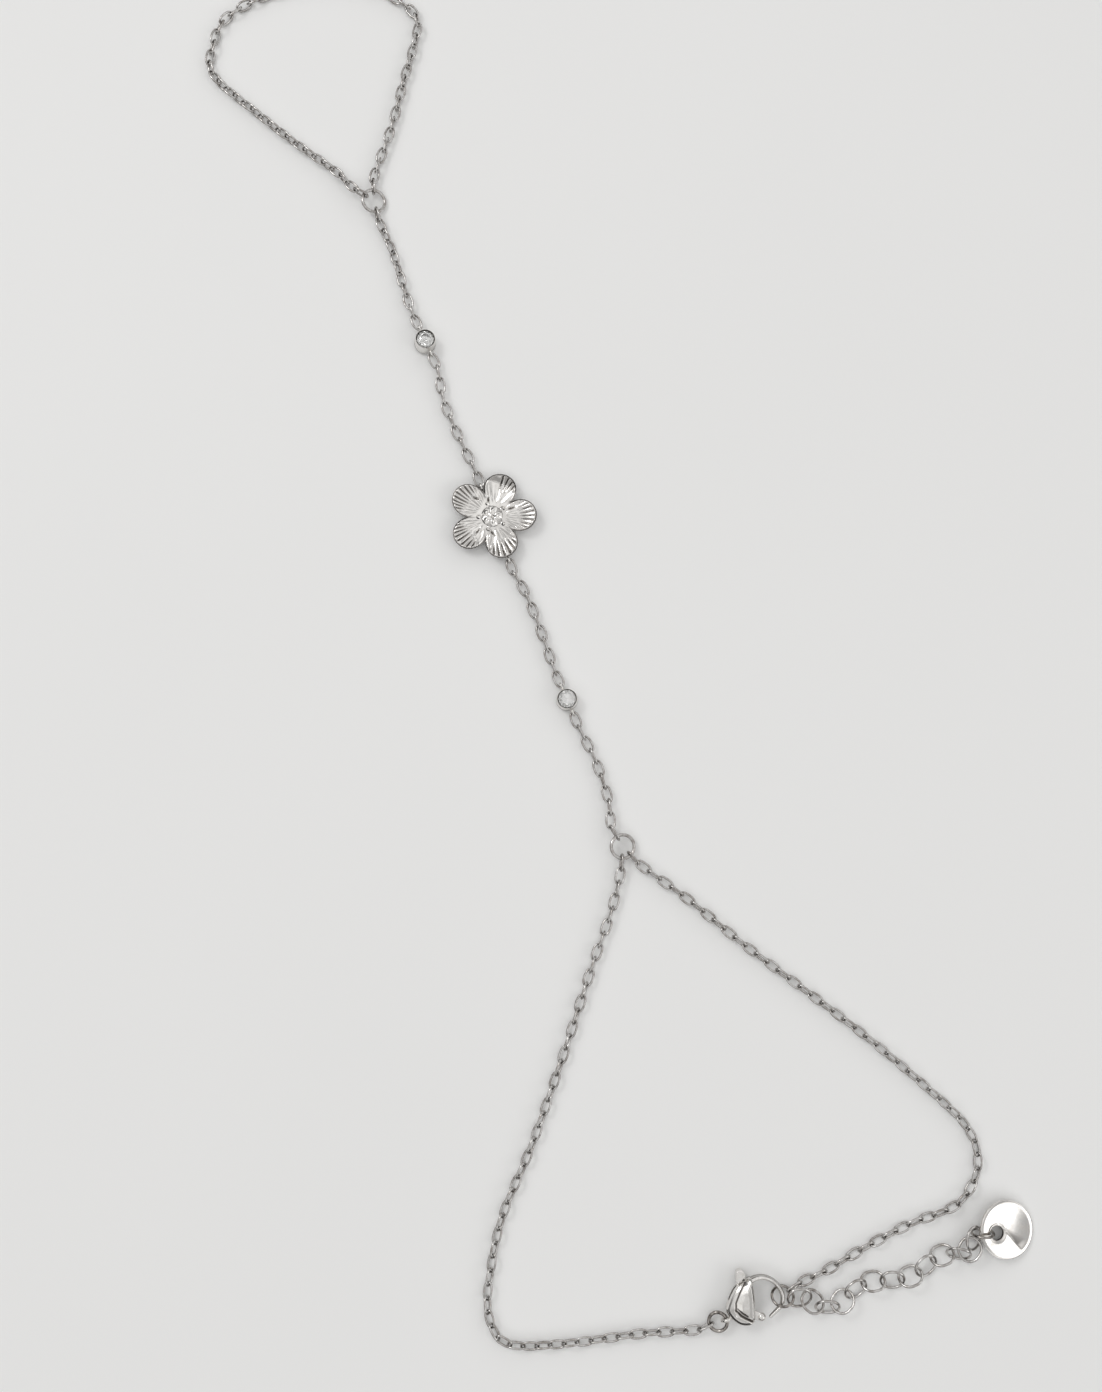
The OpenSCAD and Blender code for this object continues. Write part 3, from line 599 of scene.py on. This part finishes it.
class BRACELET_OT_flower(bpy.types.Operator):
    """Models the fluted five-petal flower with its rosette, back and eyelets"""

    bl_idname = "bracelet.flower"
    bl_label = "Flower"
    # Each petal: place of its crease in mm, angle between its flutes in degrees, how deep they are
    petals = [((1.9, 1.05), 7.6, 0.85), ((2.9, -0.75), 6.6, 0.9), ((2.6, 0.4), 7.2, 1.0),
              ((2.0, -0.7), 8.2, 1.0), ((2.4, 0.95), 7.0, 0.7)]
    # All petals, in mm: where they start and how high, where the lines of their flutes meet
    base_x, base_z, fan_x = 1.1, 1.02, 0.7
    inner_stretch = 1.18
    cup, rim_roll, metal = 0.2, 0.2, 0.26
    crease_depth, crease_slant, crease_width, crease_length = 0.3, 0.25, 0.1, 0.36
    # Broad folds: their height in mm and how many flutes each of them spans
    broad_fold, broad_span = 0.045, 3.2
    # The first petal's tip: where it bends down, how steeply and how much painted shade darkens it
    tip_x, tip_slope, tip_dark = 4.15, 0.5, 0.32
    # Eyelets: direction in degrees, reach and start of the stem in mm
    eyelets = [(110, 4.02, 1.8), (-69, 5.82, 1.8)]
    # The back in mm, (radius, height)
    back = [(2.32, 0.0), (2.4, 0.08), (2.4, 0.3), (2.1, 0.72), (1.5, 0.9)]

    def petal(self, sizes, number):
        """One cupped petal, fluted like a fan toward its tip"""
        chance = random.Random(number)
        radius, reach = sizes.radius / MM, sizes.reach / MM
        rim, depth = sizes.rim / MM, sizes.flute / MM
        (crease_x, crease_y), flute_step, share = self.petals[number]
        flute_step = math.radians(flute_step)
        shift = chance.uniform(0, 1)
        sway = [chance.uniform(0.5, 1.2) for _ in range(3)]
        lean = chance.uniform(-0.05, 0.05)
        obj = disc_of_grid(84, 1.0)
        painted_shade_amounts = []
        for vertex in obj.data.vertices:
            d = min(1.0, math.hypot(vertex.co.x, vertex.co.y))
            x = reach + radius * vertex.co.x * (self.inner_stretch if vertex.co.x < 0 else 1.0)
            y = radius * vertex.co.y
            out = max(0.0, (x - self.base_x) / (reach + radius - self.base_x))
            free = ease(out, 0.12, 0.38)
            angle = math.atan2(y, x - self.fan_x)
            wander = 0.22 * math.sin(5 * sway[0] * angle + 4 * sway[1])
            phase = angle / flute_step + shift + wander
            groove = (1 - abs(math.sin(math.pi * phase))) ** 1.5
            fan = share * ease(out, 0.4, 0.7) * (1 - ease(d, 0.86, 0.97))
            crease = bell(x, crease_x, self.crease_length) * bell(
                y, crease_y + self.crease_slant * (x - crease_x), self.crease_width)
            wave = math.sin(2 * math.pi * phase / self.broad_span + 3 * sway[2])
            z = self.base_z + (rim - self.base_z) * out ** 1.2 + lean * y
            z += self.cup * (d ** 3 - 0.35) * ease(out, 0.05, 0.5)
            z -= self.rim_roll * max(0.0, d - 0.88) / 0.12 * free
            z += self.broad_fold * wave * ease(out, 0.08, 0.3) * (1 - ease(d, 0.7, 0.95))
            # Painted shade on the first petal's tip, which bends down
            dark = 0.0
            if number == 0:
                dark = self.tip_dark * ease(x, 4.0, 4.5)
                fan *= 1 - ease(y, 0.0, 0.5)
                z -= self.tip_slope * max(0.0, x - self.tip_x) * ease(x, 3.95, 4.35)
            z -= depth * groove * fan + self.crease_depth * crease
            # Painted shade in the flutes and the creases and along the rim
            dark += 0.95 * groove * fan + 0.7 * crease + 0.9 * ease(d, 0.91, 0.96) * free
            vertex.co = Vector((x, y, z)) * MM
            painted_shade_amounts.append(min(1.0, dark))
        mark_recesses(obj, painted_shade_amounts)
        apply_modifier(obj, "SOLIDIFY", thickness=self.metal * MM, offset=-1.0)
        obj.data.transform(Matrix.Rotation(sizes.turn + math.radians(72 * number), 4, "Z"))
        return obj

    def rosette(self, sizes):
        """Five small inner lobes round a dimple, with a bead in every notch between petals"""
        lobe_r, lobe_length, lobe_width, lobe_h = 0.78, 0.4, 0.36, 0.3
        bead_r, bead_width, bead_h = 1.75, 0.3, 0.5
        dimple, dimple_width = 0.14, 0.22
        obj = disc_of_grid(72, 2.3)
        painted_shade_amounts = []
        for vertex in obj.data.vertices:
            r = math.hypot(vertex.co.x, vertex.co.y)
            turn = math.atan2(vertex.co.y, vertex.co.x) - sizes.turn
            notch = (0.5 - 0.5 * math.cos(5 * turn)) ** 3
            lobes = 0.0
            for number in range(5):
                away = turn - math.radians(72 * number)
                lobes += bell(r * math.cos(away), lobe_r, lobe_length) * bell(
                    r * math.sin(away), 0, lobe_width)
            bead = bell(r, bead_r, bead_width) * notch
            z = 1.06 - 0.3 * ease(r, 1.2, 1.7) - dimple * bell(r, 0, dimple_width)
            vertex.co.z = z + lobe_h * lobes + bead_h * bead
            vertex.co *= MM
            # Painted shade on the low ground round the lobes and the beads
            painted_shade_amounts.append(0.6 * (1 - ease(max(lobes, bead), 0.02, 0.26)))
        mark_recesses(obj, painted_shade_amounts)
        apply_modifier(obj, "SOLIDIFY", thickness=0.3 * MM, offset=-1.0)
        return obj

    def eyelet(self, direction, reach, start):
        """A soldered eyelet of round wire on its stem"""
        direction = math.radians(direction)
        way = Vector((math.cos(direction), math.sin(direction), 0))
        lift = Vector((0, 0, EYELET_HEIGHT))
        ring = wire_eyelet(way * reach + lift, direction, 48, 16)
        deselect_all()
        length = reach - EYELET_RADIUS - start
        bpy.ops.mesh.primitive_cylinder_add(
            vertices=20, radius=EYELET_WIRE * MM, depth=length * MM)
        stem = bpy.context.object
        middle = way * (start + length / 2) + lift
        lie = Matrix.Rotation(direction, 4, "Z") @ Matrix.Rotation(math.pi / 2, 4, "Y")
        stem.data.transform(Matrix.Translation(middle * MM) @ lie)
        return [ring, stem]

    def execute(self, context):
        sizes = context.scene.bracelet_flower
        pieces = [turned([(r * MM, z * MM) for r, z in self.back], 64), self.rosette(sizes)]
        pieces += [self.petal(sizes, number) for number in range(5)]
        for direction, reach, start in self.eyelets:
            pieces += self.eyelet(direction, reach, start)
        flower = join(pieces, "fluted_flower")
        smooth_by(flower, 50)
        give_material(flower, shared(bright_silver_plate, context.scene.bracelet_finish))
        hand_over(flower, BODY, "bright_steel", "flower")
        return {"FINISHED"}


class BRACELET_OT_stones(bpy.types.Operator):
    """Cuts the two round stones with tables, stars, kites and pavilion facets"""

    bl_idname = "bracelet.stones"
    bl_label = "Cut stones"

    def ring_of_corners(self, count, radius, height, first):
        """Corners of one level of the cut"""
        bpy.ops.mesh.primitive_circle_add(vertices=count, radius=radius, fill_type="NOTHING")
        obj = bpy.context.object
        obj.data.transform(Matrix.Translation((0, 0, height)) @ Matrix.Rotation(first, 4, "Z"))
        return obj

    def brilliant(self, sizes):
        """A round brilliant: the hull of its corners"""
        r, top = sizes.diameter / 2, sizes.girdle_top
        low = top - 0.08 * MM
        half = math.pi / 8
        # Corners, radius, height and turn of the table, the crown, the girdle and the pavilion
        levels = [(8, 0.56 * r, top + 0.32 * r, 0.0), (8, 0.76 * r, top + 0.215 * r, half),
                  (16, r, top, 0.0), (16, r, low, 0.0),
                  (8, 0.42 * r, low - 0.5 * r, half), (3, 0.01 * r, low - 0.84 * r, 0.0)]
        rings = []
        for count, radius, height, first in levels:
            deselect_all()
            rings.append(self.ring_of_corners(count, radius, height, first))
        stone = join(rings, "stone")
        bpy.ops.object.mode_set(mode="EDIT")
        bpy.ops.mesh.select_all(action="SELECT")
        bpy.ops.mesh.convex_hull()
        bpy.ops.object.mode_set(mode="OBJECT")
        outward(stone)
        return stone

    def execute(self, context):
        sizes = context.scene.bracelet_stones
        finish = clear_cubic_zirconia(context.scene.bracelet_finish)
        first = self.brilliant(sizes)
        second = bpy.data.objects.new("stone_below", first.data.copy())
        context.scene.collection.objects.link(second)
        first.name = "stone_above"
        for stone, (number, at, turn, lean) in zip((first, second), SETTINGS):
            stone.data.transform(setting_place(at, turn, lean))
            give_material(stone, finish)
            hand_over(stone, BODY, "clear_stone", "stone_" + number)
        return {"FINISHED"}


class BRACELET_OT_clasp(bpy.types.Operator):
    """Smooths the lobster clasp and its lever as polished castings"""

    bl_idname = "bracelet.clasp"
    bl_label = "Lobster clasp"
    place = (28.5, -95.8, 0.0)
    turn = math.radians(20.8)
    # Lines in mm from the shoulder toward the nose: width of the flank behind and before, depth;
    # painted shade darkens a narrow band along each line
    cuts = [([(2.9, 3.25), (1.87, 2.38), (1.07, 1.51), (0.78, 0.75)], 0.1, 0.75, 0.34),
            ([(0.78, 0.75), (1.12, 0.0), (1.6, -0.55), (2.15, -1.1)], 0.13, 0.13, 0.35),
            ([(1.0, 0.85), (1.4, 0.15), (1.8, -0.35)], 0.1, 0.1, 0.2)]
    # In mm: middle height of the clasp, where its folds end and where its bare hook starts
    middle_h, folds_end, hook_start = 1.15, 3.7, 3.3
    voxel, rounds = 0.035 * MM, 2

    def spine_fold(self, x, y, height):
        """Depth in mm of the pressed folds on the body's face, and how much painted shade darkens
        them
        """
        depth = dark = 0.0
        for line, behind, before, deep in self.cuts:
            nearest, side = 9.0, 0.0
            for (ax, ay), (bx, by) in zip(line, line[1:]):
                run, rise = bx - ax, by - ay
                share = ((x - ax) * run + (y - ay) * rise) / (run ** 2 + rise ** 2)
                share = min(1.0, max(0.0, share))
                away = math.hypot(x - ax - share * run, y - ay - share * rise)
                if away < nearest:
                    nearest, side = away, run * (y - ay) - rise * (x - ax)
            if side > 0 and before > 0.2:
                depth = max(depth, deep * max(0.0, 1 - nearest / before))
            else:
                depth = max(depth, deep * bell(nearest, 0, behind))
            # Painted shade in a narrow band along each line
            dark = max(dark, bell(nearest, 0, 0.09))
        low = ease(height, 0.2, 0.75)
        return depth * low, dark * low

    def press(self, body):
        """Presses the folds into the face of the clasp's body, and paints shade along the folds and
        on the sides of its hook
        """
        place = Matrix.Translation(-Vector(self.place) * MM)
        back = Matrix.Rotation(-self.turn, 4, "Z") @ place
        painted_shade_amounts = []
        for vertex in body.data.vertices:
            here = back @ vertex.co / MM
            depth = dark = 0.0
            if here.x < self.folds_end and here.z > self.middle_h:
                depth, dark = self.spine_fold(here.x, here.y, here.z - self.middle_h)
                vertex.co.z -= depth * MM
            elif here.x > self.hook_start:
                # Painted shade on the sides of the hook, where its surface faces sideways
                dark = 0.7 * bell(vertex.normal.z, 0.1, 0.4)
            painted_shade_amounts.append(dark)
        mark_recesses(body, painted_shade_amounts)

    def casting(self, node, name):
        """A softened copy of a CAD piece, as tumbling leaves a casting"""
        copy = bpy.data.objects.new(name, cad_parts[node].data.copy())
        bpy.context.scene.collection.objects.link(copy)
        only(copy)
        bpy.ops.mesh.customdata_custom_splitnormals_clear()
        outward(copy)
        apply_modifier(copy, "REMESH", mode="VOXEL", voxel_size=self.voxel)
        apply_modifier(copy, "SMOOTH", factor=0.5, iterations=self.rounds)
        only(copy)
        bpy.ops.object.shade_smooth()
        return copy

    def execute(self, context):
        look = context.scene.bracelet_finish
        body = self.casting("clasp_body", "lobster_clasp_body")
        self.press(body)
        lever = self.casting("clasp_gate", "lobster_clasp_lever")
        give_material(body, shared(bright_silver_plate, look))
        give_material(lever, shared(bright_silver_plate, look))
        hand_over(body, BODY, "polished_steel", "clasp_body")
        hand_over(lever, LEVER_BODY, "polished_steel", "clasp_gate")
        return {"FINISHED"}


class BRACELET_OT_tag(bpy.types.Operator):
    """Turns the dished round tag and drills its hole"""

    bl_idname = "bracelet.tag"
    bl_label = "Round tag"
    place = (61.05, -85.9)
    # In mm: how far the hole's edge is from the tag's edge, and how far to the side it is
    hole_margin, hole_side = 1.25, -0.3
    # Direction of the fold from the hole toward the rim, and depths in mm
    fold_x, fold_y = 0.67, -0.74
    fold_depth, hole_sunk = 0.15, 0.09
    rings = 26

    def fold(self, x, y):
        """The fold at a place in mm: place along it, share of the dish left, share of its wedge"""
        along = self.fold_x * x + self.fold_y * y
        across = self.fold_x * y - self.fold_y * x
        side = ease(across, -0.34, -0.2)
        width = 0.3 + 0.4 * max(0.0, along)
        rise = min(1.0, max(0.0, 1 - (across + 0.2) / width)) * side
        return along, side, rise * ease(along, -0.5, 0.3) * (1 - ease(along, 2.2, 2.9))

    def execute(self, context):
        sizes = context.scene.bracelet_tag
        r, thick = sizes.diameter / 2, sizes.thickness
        edge = 0.1 * MM
        dish_r = r - 0.4 * MM
        face = 0.4 * thick
        profile = [(r - edge, 0.0), (r - 0.3 * edge, 0.3 * edge), (r, edge), (r, thick - edge),
                   (r - 0.3 * edge, thick - 0.3 * edge), (r - edge, thick), (dish_r, thick)]
        for step in range(1, self.rings + 1):
            share = 1 - step / (self.rings + 1)
            profile.append((dish_r * share, thick - sizes.dish * (1 - share * share)))
        disc = turned(profile, 160)
        hole_at = (self.hole_margin * MM + sizes.hole / 2 - r, self.hole_side * MM, 0)
        for vertex in disc.data.vertices:
            x, y = vertex.co.x / MM, vertex.co.y / MM
            if vertex.co.z > face and math.hypot(x, y) < dish_r / MM:
                away = math.hypot(vertex.co.x - hole_at[0], vertex.co.y - hole_at[1])
                away = (away - sizes.hole / 2) / MM
                along, side, wedge = self.fold(x, y)
                dish = sizes.dish / MM * (1 - (x * x + y * y) * (MM / dish_r) ** 2)
                sunk = self.hole_sunk * (1 - ease(away, 0.0, 0.4)) + self.fold_depth * wedge
                sunk -= dish * (1 - side) * ease(along, -2.6, 0.3)
                vertex.co.z -= sunk * MM
        deselect_all()
        bpy.ops.mesh.primitive_cylinder_add(
            vertices=48, radius=sizes.hole / 2, depth=4 * thick, location=hole_at)
        drill = bpy.context.object
        outward(disc)
        apply_modifier(disc, "BOOLEAN", operation="DIFFERENCE", object=drill, solver="EXACT")
        bpy.data.objects.remove(drill)
        apply_modifier(disc, "BEVEL", width=0.05 * MM, segments=2, limit_method="ANGLE",
                       angle_limit=math.radians(50))
        # Painted shade: the hole's wall is darkened fully and the fold's wedge partly
        wall = sizes.hole / 2 + 0.02 * MM
        painted_shade_amounts = []
        for vertex in disc.data.vertices:
            x, y, z = vertex.co
            in_hole = math.hypot(x - hole_at[0], y - hole_at[1]) < wall
            wedge = self.fold(x / MM, y / MM)[2] if z > face else 0.0
            painted_shade_amounts.append(1.0 if in_hole else 0.55 * wedge)
        mark_recesses(disc, painted_shade_amounts)
        height = r * math.sin(sizes.tilt)
        stand = Matrix.Translation((self.place[0] * MM, self.place[1] * MM, height))
        stand = stand @ Matrix.Rotation(sizes.tilt, 4, "Y")
        disc.data.transform(stand)
        disc.name = "round_tag"
        smooth_by(disc, 35)
        give_material(disc, hand_polished_disc(context.scene.bracelet_finish))
        hand_over(disc, BODY, "bright_steel", "tag")
        return {"FINISHED"}


class BRACELET_OT_studio(bpy.types.Operator):
    """Sets the pale floor, the soft lights and the camera"""

    bl_idname = "bracelet.studio"
    bl_label = "Studio"
    # Direction of the room's ceiling, and the room's (height, grey) from below to the ceiling
    ceiling = (0.14, 0.12, 0.983)
    room_bands = [(0.0, 0.02), (0.3, 0.05), (0.44, 0.74), (0.66, 0.8), (0.79, 0.34),
                  (0.88, 0.38), (0.975, 0.64)]

    def soft_light(self, name, place, aim, width, power):
        """A square soft light that faces a point"""
        light = bpy.data.lights.new(name, "AREA")
        light.size = width
        light.energy = power
        lamp = bpy.data.objects.new(name, light)
        lamp.location = place
        lamp.rotation_euler = (Vector(aim) - Vector(place)).to_track_quat("-Z", "Y").to_euler()
        bpy.context.scene.collection.objects.link(lamp)

    def pale_room(self, brightness):
        """A pale backdrop, and a room to mirror: dark low down, bright walls, greyer ceiling"""
        world = bpy.data.worlds.new("pale_room")
        world.use_nodes = True
        tree = world.node_tree
        tree.nodes.clear()
        way = add_node(tree, "ShaderNodeTexCoord")
        height = add_node(tree, "ShaderNodeVectorMath", {
            0: (way, "Generated"), 1: self.ceiling}, operation="DOT_PRODUCT")
        bands = add_node(tree, "ShaderNodeValToRGB", {"Fac": (height, "Value")})
        ramp = bands.color_ramp
        for number, (place, grey) in enumerate(self.room_bands):
            stop = ramp.elements[number] if number < 2 else ramp.elements.new(place)
            stop.position = place
            stop.color = (grey, grey * 0.995, grey * 0.99, 1.0)
        room = add_node(tree, "ShaderNodeBackground", {
            "Color": (bands, "Color"), "Strength": brightness})
        backdrop = add_node(tree, "ShaderNodeBackground", {
            "Color": linear("#DCDBDA"), "Strength": 1.0})
        seen = add_node(tree, "ShaderNodeLightPath")
        mixed = add_node(tree, "ShaderNodeMixShader", {
            0: (seen, "Is Camera Ray"), 1: (room, "Background"), 2: (backdrop, "Background")})
        add_node(tree, "ShaderNodeOutputWorld", {"Surface": (mixed, "Shader")})
        bpy.context.scene.world = world

    def execute(self, context):
        studio = context.scene.bracelet_studio
        deselect_all()
        bpy.ops.mesh.primitive_plane_add(size=16, location=(0, 0, -0.01 * MM))
        floor = bpy.context.object
        floor.name = "studio_floor"
        settle(floor)
        give_material(floor, pale_floor(context.scene.bracelet_finish))
        floor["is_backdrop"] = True

        eye, aim = Vector(studio.eye), Vector(studio.aim)
        camera = bpy.data.objects.new("camera", bpy.data.cameras.new("camera"))
        camera.data.lens = studio.lens
        camera.data.sensor_width = 36
        camera.data.clip_start = 0.005
        back = (eye - aim).normalized()
        right = Vector((0, 1, 0)).cross(back).normalized()
        turn = Matrix((right, back.cross(right), back)).transposed().to_4x4()
        camera.matrix_world = Matrix.Translation(eye) @ turn
        context.scene.collection.objects.link(camera)
        context.scene.camera = camera

        # Name, place, aim and width in metres, and power
        for light in [
            ("overhead_soft_light", (0.02, 0.02, 0.6), (0.01, -0.02, 0), 0.5, studio.overhead),
            ("side_soft_light", (0.58, -0.26, 0.38), (0.06, -0.09, 0), 0.3, studio.side),
            ("key_soft_light", (-0.34, 0.26, 0.5), (0, 0, 0), 0.2, studio.key),
        ]:
            self.soft_light(*light)
        self.pale_room(studio.room)
        context.scene.view_settings.view_transform = "Standard"
        return {"FINISHED"}


STEPS = [
    BRACELET_OT_links, BRACELET_OT_rings, BRACELET_OT_settings, BRACELET_OT_flower,
    BRACELET_OT_stones, BRACELET_OT_clasp, BRACELET_OT_tag, BRACELET_OT_studio,
]


class BRACELET_PT_panel(bpy.types.Panel):
    """Lists the bracelet's sizes, colours and steps"""

    bl_idname = "BRACELET_PT_panel"
    bl_label = "Hand Chain Bracelet"
    bl_space_type = "VIEW_3D"
    bl_region_type = "UI"
    bl_category = "Bracelet"

    def draw(self, context):
        for name, group in GROUPS.items():
            box = self.layout.box()
            settings = getattr(context.scene, name)
            for key in group.__annotations__:
                box.prop(settings, key)
        for step in STEPS:
            self.layout.operator(step.bl_idname)


GROUPS = {
    "bracelet_finish": FinishColours,
    "bracelet_links": LinkSizes,
    "bracelet_flower": FlowerSizes,
    "bracelet_stones": StoneSizes,
    "bracelet_tag": TagSizes,
    "bracelet_studio": StudioSettings,
}


def register():
    for group in GROUPS.values():
        bpy.utils.register_class(group)
    for step in STEPS + [BRACELET_PT_panel]:
        bpy.utils.register_class(step)
    for name, group in GROUPS.items():
        setattr(bpy.types.Scene, name, bpy.props.PointerProperty(type=group))


def unregister():
    for name in GROUPS:
        delattr(bpy.types.Scene, name)
    for step in reversed(STEPS + [BRACELET_PT_panel]):
        bpy.utils.unregister_class(step)
    for group in reversed(list(GROUPS.values())):
        bpy.utils.unregister_class(group)


def main():
    register()
    bpy.ops.bracelet.links()
    bpy.ops.bracelet.rings()
    bpy.ops.bracelet.settings()
    bpy.ops.bracelet.flower()
    bpy.ops.bracelet.stones()
    bpy.ops.bracelet.clasp()
    bpy.ops.bracelet.tag()
    bpy.ops.bracelet.studio()
    boxes = {"cad": cad_box, "visual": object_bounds()}
    {key: [list(corner) for corner in box] for key, box in boxes.items()}


if __name__ == "__main__":
    main()
